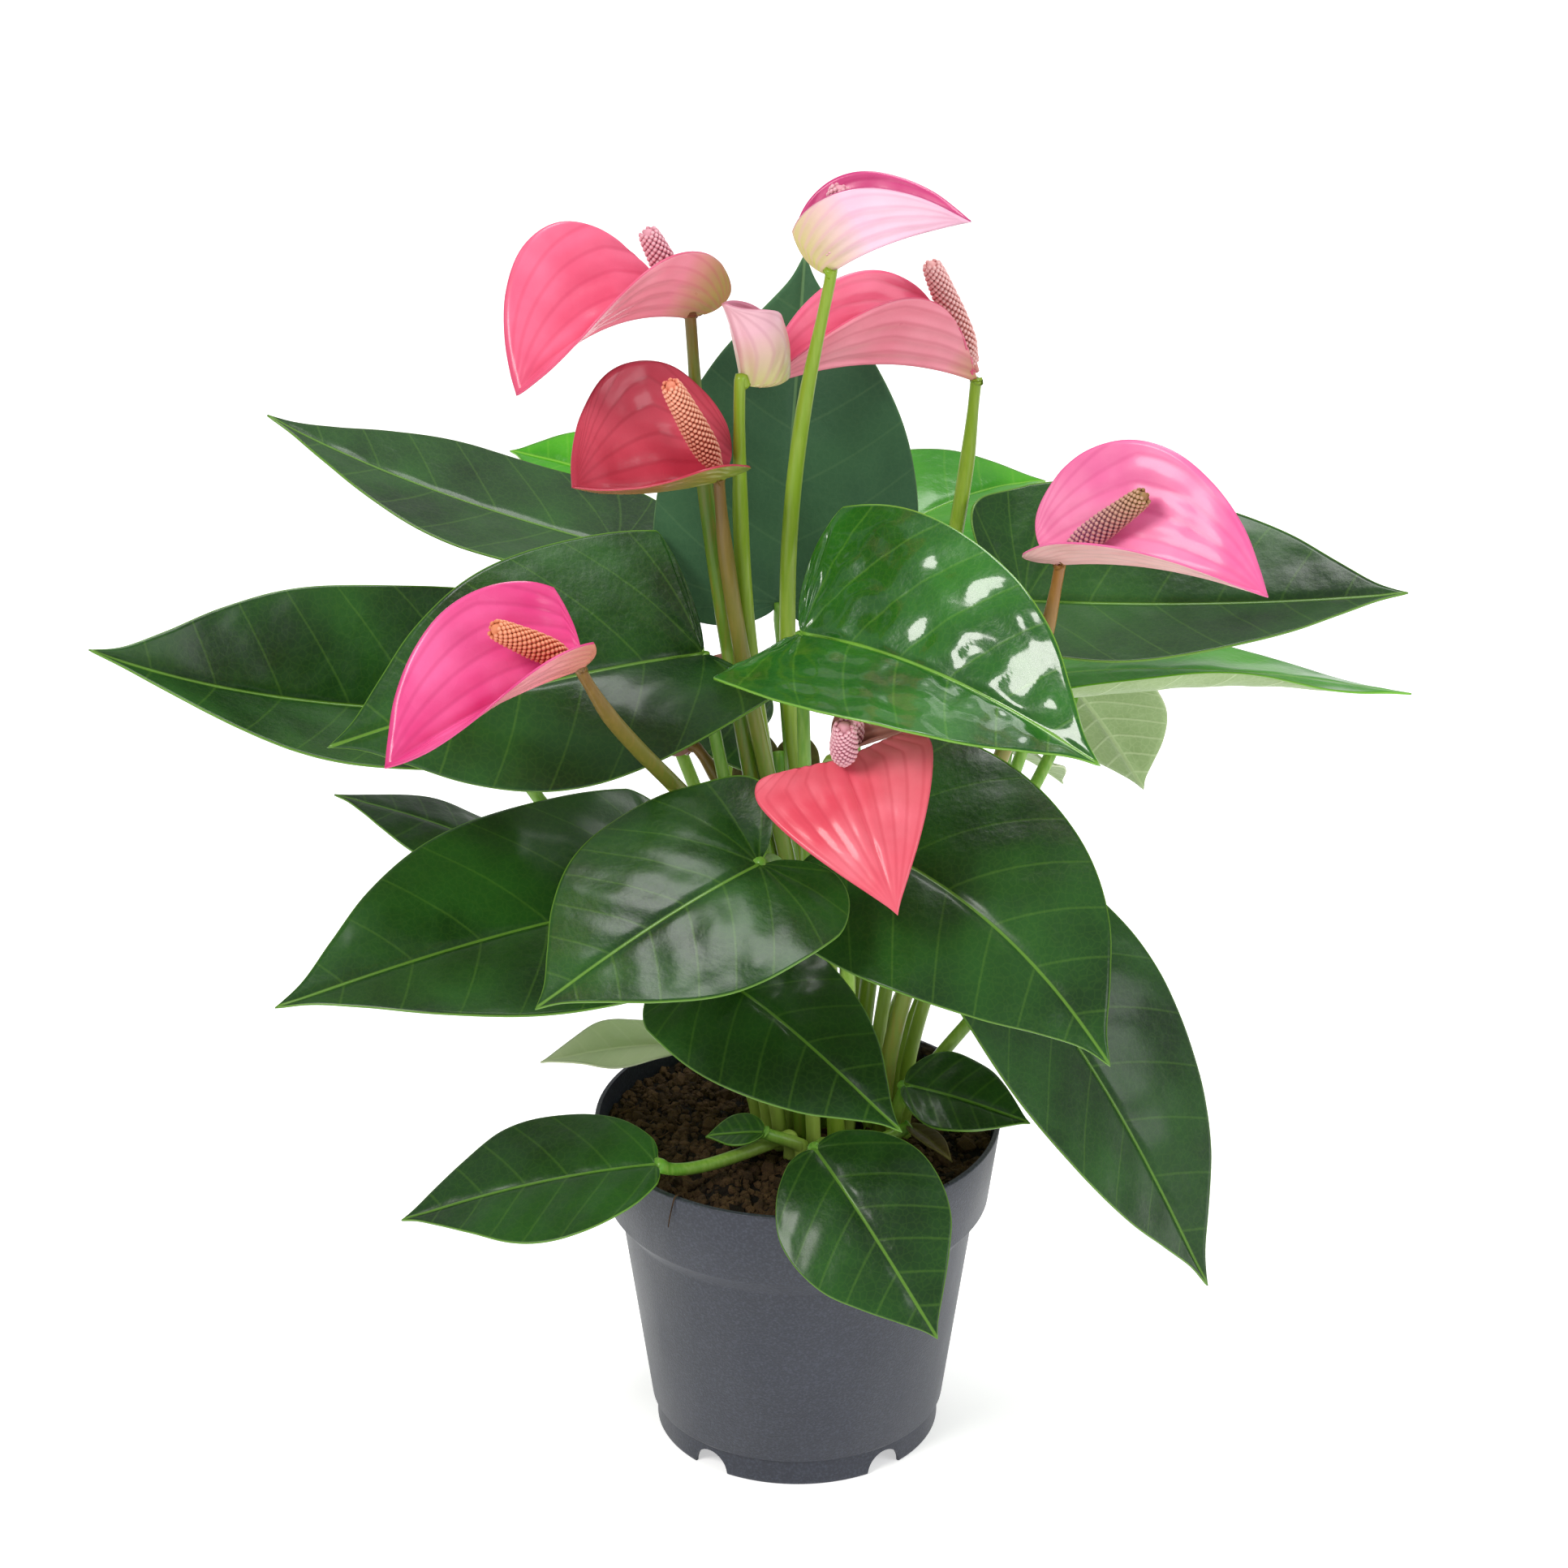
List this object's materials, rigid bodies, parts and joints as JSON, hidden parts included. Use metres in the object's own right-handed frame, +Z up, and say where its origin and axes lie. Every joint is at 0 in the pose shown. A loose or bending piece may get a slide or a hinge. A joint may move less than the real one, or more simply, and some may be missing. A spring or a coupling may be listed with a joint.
{
  "type": "potted anthurium",
  "caption": "Flowering anthurium with heart-shaped leaves and pink spathes on thin stalks, growing in a round plastic nursery pot of soil.",
  "frame": {"origin": "the middle of the pot's underside, on the plane it stands on, where its round centre pad rests", "axes": "+Z up along the pot's axis; +Y away from the viewer of the pictured side; +X to that viewer's right"},
  "size_m": [0.3772, 0.2275, 0.3983],
  "materials": {
    "dark_polypropylene": "satin",
    "peat": "matte",
    "leaf_deep": "satin",
    "leaf_grey": "matte",
    "leaf_bright": "gloss",
    "leaf_pale": "satin",
    "leaf_brown": "matte",
    "spathe_pink": "gloss",
    "spadix_orange": "matte",
    "stalk_green": "satin"
  },
  "bodies": {
    "root": {"flower_stalk_bud": "stalk_green", "flower_stalk_centre_left": "stalk_green", "flower_stalk_front": "stalk_green", "flower_stalk_inner": "stalk_green", "flower_stalk_left": "stalk_green", "flower_stalk_middle_back": "stalk_green", "flower_stalk_right": "stalk_green", "flower_stalk_top": "stalk_green", "flower_stalk_top_left": "stalk_green", "flower_stalk_top_right": "stalk_green", "leaf_back_left_pale": "leaf_deep", "leaf_back_right_bright": "leaf_deep", "leaf_back_upright": "leaf_deep", "leaf_behind_stems": "leaf_deep", "leaf_bract_narrow": "leaf_deep", "leaf_centre_low": "leaf_deep", "leaf_front_centre": "leaf_deep", "leaf_front_left": "leaf_deep", "leaf_front_right": "leaf_deep", "leaf_left_behind_small": "leaf_deep", "leaf_left_long": "leaf_deep", "leaf_left_lower": "leaf_deep", "leaf_left_middle": "leaf_deep", "leaf_left_pale_low": "leaf_deep", "leaf_left_top": "leaf_deep", "leaf_middle_left": "leaf_deep", "leaf_right_hanging": "leaf_deep", "leaf_right_lower": "leaf_deep", "leaf_right_pale_back": "leaf_deep", "leaf_right_pale_small": "leaf_deep", "leaf_right_upper": "leaf_deep", "leaf_rim_front": "leaf_deep", "leaf_rim_left": "leaf_deep", "leaf_soil_front": "leaf_deep", "leaf_soil_right": "leaf_deep", "pot": "dark_polypropylene", "potting_soil": "peat", "spadix_bud": "spadix_orange", "spadix_centre_left": "spadix_orange", "spadix_front": "spadix_orange", "spadix_inner": "spadix_orange", "spadix_left": "spadix_orange", "spadix_middle_back": "spadix_orange", "spadix_right": "spadix_orange", "spadix_top": "spadix_orange", "spadix_top_left": "spadix_orange", "spadix_top_right": "spadix_orange", "spathe_bud": "spathe_pink", "spathe_centre_left": "spathe_pink", "spathe_front": "spathe_pink", "spathe_inner": "spathe_pink", "spathe_left": "spathe_pink", "spathe_middle_back": "spathe_pink", "spathe_right": "spathe_pink", "spathe_top": "spathe_pink", "spathe_top_left": "spathe_pink", "spathe_top_right": "spathe_pink"}
  },
  "joints": []
}
